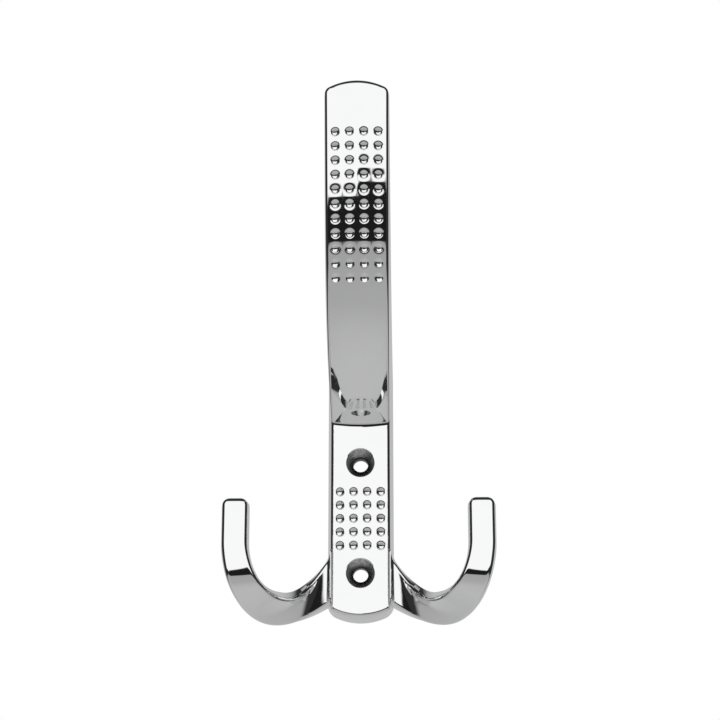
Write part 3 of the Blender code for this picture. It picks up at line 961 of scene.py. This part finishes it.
# %% Edge lines of a side hook
HOOK_SPREAD = 0.0340
HOOK_ARM_WIDTH = 0.0069
HOOK_ARM_REACH = 0.0320
HOOK_TIP_LIFT = 0.0289
HOOK_STRAIGHT = 0.0117
HOOK_ROOT_REACH = 0.0056
HOOK_ROOT_LIFT = 0.0038
HOOK_ROOT_WIDTH = 0.0138
ROOT_OVERLAP = 0.002


def plate_side(forward):
    """Half the plate's width at a distance in front of the wall."""
    return blend(PLATE_BACK_WIDTH, PLATE_FRONT_WIDTH, forward / PLATE_THICKNESS) / 2.0


hook_start = plate_side(PLATE_THICKNESS) - ROOT_OVERLAP
hook_foot = -PLATE_HALF_HEIGHT
hook_tip = hook_foot + HOOK_TIP_LIFT
outer_root = hook_foot + HOOK_ROOT_LIFT


def edge_legs(root_height, arm_x, bow, low_reach, low_lift, angles, pulls):
    """Root to low point, low point to arm, arm to tip. The angles are the dip at the root, and the
    turn towards the room and the fall at the low point. The pulls are the handles' shares of a leg."""
    dip, turn, fall = (math.radians(angle) for angle in angles)
    root = place(hook_start, HOOK_ROOT_REACH, root_height + ROOT_OVERLAP * math.tan(dip))
    low = place(arm_x - bow, low_reach, hook_foot + low_lift)
    bend = place(arm_x, HOOK_ARM_REACH, hook_tip - HOOK_STRAIGHT)
    tip = place(arm_x, HOOK_ARM_REACH, hook_tip)
    dipping = place(math.cos(dip), 0.0, -math.sin(dip))
    heading = place(math.cos(turn) * math.cos(fall), math.sin(turn) * math.cos(fall), -math.sin(fall))
    reach, climb = (low - root).length, (bend - low).length
    upward = place(0.0, 0.0, climb * pulls[3])
    return ((root, root + dipping * (reach * pulls[0]), low - heading * (reach * pulls[1]), low),
            (low, low + heading * (climb * pulls[2]), bend - upward, bend),
            (bend, blend(bend, tip, 1.0 / 3.0), blend(bend, tip, 2.0 / 3.0), tip))


inner_legs = edge_legs(
    root_height=outer_root + HOOK_ROOT_WIDTH, arm_x=HOOK_SPREAD - HOOK_ARM_WIDTH / 2.0, bow=0.0088,
    low_reach=0.0222, low_lift=0.0023, angles=(55.5, 65.4, 3.0), pulls=(0.43, 0.53, 0.61, 0.28))
outer_legs = edge_legs(
    root_height=outer_root, arm_x=HOOK_SPREAD + HOOK_ARM_WIDTH / 2.0, bow=0.0070,
    low_reach=0.0218, low_lift=-0.0019, angles=(34.9, 65.8, -16.5), pulls=(0.22, 0.66, 0.64, 0.14))
print("the hook's tip is", round(hook_tip * 1000, 1), "mm above the middle of the plate")

# %% Face and back of a side hook
HOOK_THICKNESS = 0.0050
HOOK_SIDE_DRAFT = 0.0006
FACE_OUTER_INSET = 0.0004
FACE_INNER_OUTSET = 0.0002
FACE_ROOT_INSET = 0.0005
BACK_OUTER_DRAFT = 0.0003
ARM_SWELL = 0.0008
SWELL_LEAN = 0.45
ROOT_FILLET = 0.0014
ROOT_FLARE = 0.0018
ROOT_FULLNESS = 0.0005
SMALL_STEP = 0.002
# Shares of the way from root to tip between which a form sets in or fades out
ARM_SETS_IN = (0.35, 0.55)
OUTSET_SETS_IN = (0.20, 0.45)
SWELL_SETS_IN, SWELL_FADES = (0.37, 0.46), (0.575, 0.46)
FULLNESS_FADES = (0.22, 0.05)


def on_legs(legs, share):
    spot = share * len(legs)
    leg = min(int(spot), len(legs) - 1)
    return bezier(legs[leg], spot - leg)


def root_rise(spot, radius):
    """How far a hollow fillet of this radius rises above a point, by its distance from the plate's side."""
    beyond = radius - min(max(spot.x - plate_side(-spot.y), 0.0), radius)
    return radius - math.sqrt(radius * radius - beyond * beyond)


def hook_inward(share):
    """From face to back: midway between square to the face and straight towards the wall."""
    ends = []
    for near in (max(share - SMALL_STEP, 0.0), min(share + SMALL_STEP, 1.0)):
        ends.append(blend(on_legs(outer_legs, near), on_legs(inner_legs, near), 0.5))
    across = on_legs(inner_legs, share) - on_legs(outer_legs, share)
    outward = (ends[1] - ends[0]).cross(across).normalized()
    return -(outward + place(0.0, 1.0, 0.0)).normalized()


def arm_swell(share):
    """The face bulges a little where the arm starts to bend, most at the outer edge."""
    return ARM_SWELL * ease_between(share, *SWELL_SETS_IN) * ease_between(share, *SWELL_FADES)


def hook_face(across, share, front_side):
    """across runs from the outer edge, 0, to the inner edge, 1, and share from root to tip."""
    inner, outer = on_legs(inner_legs, share), on_legs(outer_legs, share)
    inner += place(0.0, 0.0, root_rise(inner, ROOT_FLARE))
    spot = blend(outer, inner, across)
    sideways = (inner - outer).normalized()
    if front_side:
        outer_inset = FACE_OUTER_INSET * ease_between(share, *ARM_SETS_IN)
        inner_outset = blend(-FACE_ROOT_INSET, FACE_INNER_OUTSET, ease_between(share, *OUTSET_SETS_IN))
        spot += sideways * blend(outer_inset, inner_outset, across)
        swell = arm_swell(share) * (1.0 - SWELL_LEAN * across)
        swell += ROOT_FULLNESS * ease_between(share, *FULLNESS_FADES)
        return spot + place(0.0, swell + root_rise(spot, ROOT_FILLET), 0.0)
    outer_draft = blend(HOOK_SIDE_DRAFT, BACK_OUTER_DRAFT, ease_between(share, *ARM_SETS_IN))
    spot += sideways * blend(-outer_draft, HOOK_SIDE_DRAFT, across)
    return spot + hook_inward(min(share, 1.0)) * HOOK_THICKNESS


tip_width = (hook_face(1.0, 1.0, True) - hook_face(0.0, 1.0, True)).length
print("the arm's face is", round(tip_width * 1000, 2), "mm wide at the tip")

# %% Edges of a side hook
FLARE_LIMITS = (math.radians(-32), math.radians(45))


def hook_normal(across, share, front_side):
    low, high = max(share - SMALL_STEP, 0.0), min(share + SMALL_STEP, 1.0)
    along = hook_face(across, high, front_side) - hook_face(across, low, front_side)
    sideways = (hook_face(across + SMALL_STEP, share, front_side)
                - hook_face(across - SMALL_STEP, share, front_side))
    normal = along.cross(sideways).normalized()
    return normal if front_side else -normal


def edge_flare(across, share, front_side):
    """How far the wall behind an edge leans outwards from the face's normal."""
    edge = hook_face(across, share, front_side)
    inward = (hook_face(0.5, share, front_side) - edge).normalized()
    normal = hook_normal(across, share, front_side)
    inward = (inward - normal * inward.dot(normal)).normalized()
    wall = (hook_face(across, share, not front_side) - edge).normalized()
    flare = math.atan2(-wall.dot(inward), -wall.dot(normal))
    return min(max(flare, FLARE_LIMITS[0]), FLARE_LIMITS[1])


ON_THE_ARM = 0.9
arm_flares = [round(math.degrees(edge_flare(edge, ON_THE_ARM, True)), 1) for edge in (0.0, 1.0)]
print("behind the arm's face the walls lean out by", arm_flares, "degrees")

# %% Surface of a side hook
HOOK_RIM = 0.0010
HOOK_END_RIM = 0.0017
HOOK_CORNER = 0.0020
HOOK_ZONE = 9
HOOK_MIDDLE = 8
HOOK_COLUMNS = 2 * HOOK_ZONE + HOOK_MIDDLE
HOOK_ROWS = 170
ROOT_ROWS = 50
ROOT_SHARE = 0.12


def hook_surface(column, row, front_side):
    from_side = min(column, HOOK_COLUMNS - column)
    from_tip = HOOK_ROWS + HOOK_ZONE - row
    inner_side = column > HOOK_COLUMNS / 2.0
    rim, end_rim = (HOOK_RIM, HOOK_END_RIM) if front_side else BACK_RIMS
    tip_length = (inner_legs[2][3] - inner_legs[2][0]).length * len(inner_legs)
    body_end = 1.0 - HOOK_CORNER / tip_length
    share = ROOT_SHARE * row / ROOT_ROWS
    if row > ROOT_ROWS:
        share = blend(ROOT_SHARE, body_end, (row - ROOT_ROWS) / (HOOK_ROWS - ROOT_ROWS))
    edge = 1.0 if inner_side else 0.0
    flare = edge_flare(edge, min(share, body_end), front_side)
    drop, inset = 0.0, None
    if from_tip < HOOK_ZONE:
        end_inset, end_drop = zone_step(from_tip, HOOK_ZONE, HOOK_CORNER, end_rim, 0.0)
        if from_side < HOOK_ZONE:
            part = corner_part(HOOK_ZONE - from_side, HOOK_ZONE - from_tip)
            ring_inset, drop = zone_step(min(from_side, from_tip), HOOK_ZONE, HOOK_CORNER,
                                         blend(rim, end_rim, ease(part)), blend(flare, 0.0, ease(part)))
            radius = HOOK_CORNER - ring_inset
            inset = HOOK_CORNER - radius * math.cos(part * math.pi / 2.0)
            end_inset = HOOK_CORNER - radius * math.sin(part * math.pi / 2.0)
        else:
            drop = end_drop
        share = 1.0 - end_inset / tip_length
    elif from_side <= HOOK_ZONE:
        inset, drop = zone_step(from_side, HOOK_ZONE, HOOK_CORNER, rim, flare)
    within = min(share, 1.0)
    width = (hook_face(1.0, within, front_side) - hook_face(0.0, within, front_side)).length
    if inset is None:
        middle = (column - HOOK_ZONE) / HOOK_MIDDLE
        across = blend(HOOK_CORNER / width, 1.0 - HOOK_CORNER / width, middle)
    else:
        across = 1.0 - inset / width if inner_side else inset / width
    return hook_face(across, share, front_side) - hook_normal(across, within, front_side) * drop


print("a hook's grid has", HOOK_COLUMNS, "columns and", HOOK_ROWS + HOOK_ZONE, "rows")

# %% [markdown]
# The root runs a little way into the plate and is cut off flat just inside its drafted side wall, so the
# two pieces meet without a slit. One function makes both hooks, and a side of -1 mirrors the left one.

# %% Make both hooks
CUT_INSIDE = 0.00005

wall_normal = Vector((PLATE_THICKNESS, -(PLATE_BACK_WIDTH - PLATE_FRONT_WIDTH) / 2.0, 0.0)).normalized()


def make_hook(name, node, side):
    bm = new_slab(HOOK_COLUMNS, HOOK_ROWS + HOOK_ZONE)
    shape_slab(bm, hook_surface)
    seat = place(plate_side(0.0), 0.0, 0.0) - wall_normal * CUT_INSIDE
    everything = bm.verts[:] + bm.edges[:] + bm.faces[:]
    cut = bmesh.ops.bisect_plane(bm, geom=everything, plane_co=seat, plane_no=-wall_normal, clear_outer=True)
    bmesh.ops.holes_fill(bm, edges=[e for e in cut["geom_cut"] if isinstance(e, bmesh.types.BMEdge)])
    bmesh.ops.scale(bm, vec=(side, 1.0, 1.0), verts=bm.verts)
    return finish_piece(bm, name, node)


hooks = [make_hook("side_hook_left", "left_hook", -1.0), make_hook("side_hook_right", "right_hook", 1.0)]

# %% [markdown]
# ## Chrome
# Polished plating is a smooth metal with faint marks: a slow waviness left by polishing the casting,
# thin wiping scratches and a breath of haze. They could be painted on, but noise needs no picture and
# fits any size. They are made once as a node group, which both kinds of chrome use.

# %% Marks on the plating
# Scale and detail of each noise, as for the room's clutter
WAVES, SCRATCHES, HAZE = (90.0, 2.0), (900.0, 3.0), (220.0, 4.0)
SCRATCH_STRETCH = (1.0, 1.0, 0.12)
HAZE_STRENGTH = 0.05
LEAST_ROUGHNESS = 0.025

marks = bpy.data.node_groups.new("plating_marks", "ShaderNodeTree")
marks.interface.new_socket("Vector", in_out="INPUT", socket_type="NodeSocketVector")
haze_input = marks.interface.new_socket("Haze", in_out="INPUT", socket_type="NodeSocketFloat")
haze_input.default_value = HAZE_STRENGTH
for name in ("Roughness", "Height", "Tone"):
    marks.interface.new_socket(name, in_out="OUTPUT", socket_type="NodeSocketFloat")
inputs = marks.nodes.new("NodeGroupInput")
outputs = marks.nodes.new("NodeGroupOutput")
vector = inputs.outputs["Vector"]
waves = noise(marks, vector, *WAVES)
scratches = noise(marks, vector, *SCRATCHES, SCRATCH_STRETCH)
haze = noise(marks, vector, *HAZE)
marks.links.new(waves, outputs.inputs["Height"])
rough = calc(marks, "MULTIPLY", calc(marks, "MULTIPLY", haze, scratches), inputs.outputs["Haze"])
marks.links.new(calc(marks, "ADD", rough, LEAST_ROUGHNESS), outputs.inputs["Roughness"])
marks.links.new(haze, outputs.inputs["Tone"])
print("the group of plating marks has", len(marks.nodes), "nodes")

# %% Chrome for prong and hooks
CHROME_PALE = (0.95, 0.952, 0.955, 1.0)
CHROME_DEEP = (0.92, 0.922, 0.928, 1.0)
WAVE_HEIGHT = 0.00003


def chrome(name):
    """Chrome with the marks on it, and what a later step needs to change it."""
    material = bpy.data.materials.new(name)
    material.use_nodes = True
    tree = material.node_tree
    shader = tree.nodes["Principled BSDF"]
    shader.inputs["Metallic"].default_value = 1.0
    spot = tree.nodes.new("ShaderNodeTexCoord").outputs["Object"]
    group = tree.nodes.new("ShaderNodeGroup")
    group.node_tree = marks
    group.inputs["Haze"].default_value = HAZE_STRENGTH
    tree.links.new(spot, group.inputs["Vector"])
    tone = mix_colours(tree, group.outputs["Tone"], CHROME_PALE, CHROME_DEEP)
    tree.links.new(tone, shader.inputs["Base Color"])
    tree.links.new(group.outputs["Roughness"], shader.inputs["Roughness"])
    bump = tree.nodes.new("ShaderNodeBump")
    bump.inputs["Distance"].default_value = WAVE_HEIGHT
    bump.inputs["Strength"].default_value = 1.0
    tree.links.new(group.outputs["Height"], bump.inputs["Height"])
    tree.links.new(bump.outputs["Normal"], shader.inputs["Normal"])
    return material, tree, shader, spot


bright, *_ = chrome("bright_chrome")
for piece in [prong] + hooks:
    piece.data.materials.append(bright)
print("bright chrome on", 1 + len(hooks), "pieces")

# %% [markdown]
# The countersinks are hard to reach with a polishing wheel, so the plating there is duller and mottled.
# The plate's chrome gets a mask round both screw axes. The holes mirror each other, so the height is
# made positive first and one circle serves both.

# %% Chrome of the plate, dull in the countersinks
NEAR_BACK = -0.0005
DULL_RADIUS = 0.00412
BORE_EDGE = 0.00225
MOTTLE = (1400.0, 3.0)
DULL_DARK, DULL_PALE = grey(0.06), grey(1.0)
DULL_ROUGHNESS = 0.22

plated, tree, shader, spot = chrome("plate_chrome")
ways = tree.nodes.new("ShaderNodeSeparateXYZ")
tree.links.new(spot, ways.inputs[0])
up = calc(tree, "SUBTRACT", calc(tree, "ABSOLUTE", ways.outputs["Z"]), screw)
squares = calc(tree, "ADD", calc(tree, "POWER", up, 2.0), calc(tree, "POWER", ways.outputs["X"], 2.0))
radius = calc(tree, "SQRT", squares)
in_front = calc(tree, "LESS_THAN", ways.outputs["Y"], NEAR_BACK)
inside = calc(tree, "MULTIPLY", calc(tree, "LESS_THAN", radius, DULL_RADIUS), in_front)
outside_bore = calc(tree, "SUBTRACT", 1.0, calc(tree, "LESS_THAN", radius, BORE_EDGE))
mottle = calc(tree, "MULTIPLY", noise(tree, spot, *MOTTLE), outside_bore)
dull = mix_colours(tree, mottle, DULL_DARK, DULL_PALE)
plain = shader.inputs["Base Color"].links[0].from_socket
tree.links.new(mix_colours(tree, inside, plain, dull), shader.inputs["Base Color"])
rough = calc(tree, "ADD", shader.inputs["Roughness"].links[0].from_socket,
             calc(tree, "MULTIPLY", inside, DULL_ROUGHNESS))
tree.links.new(rough, shader.inputs["Roughness"])
plate.data.materials.append(plated)
print("plate chrome has", len(tree.nodes), "nodes")
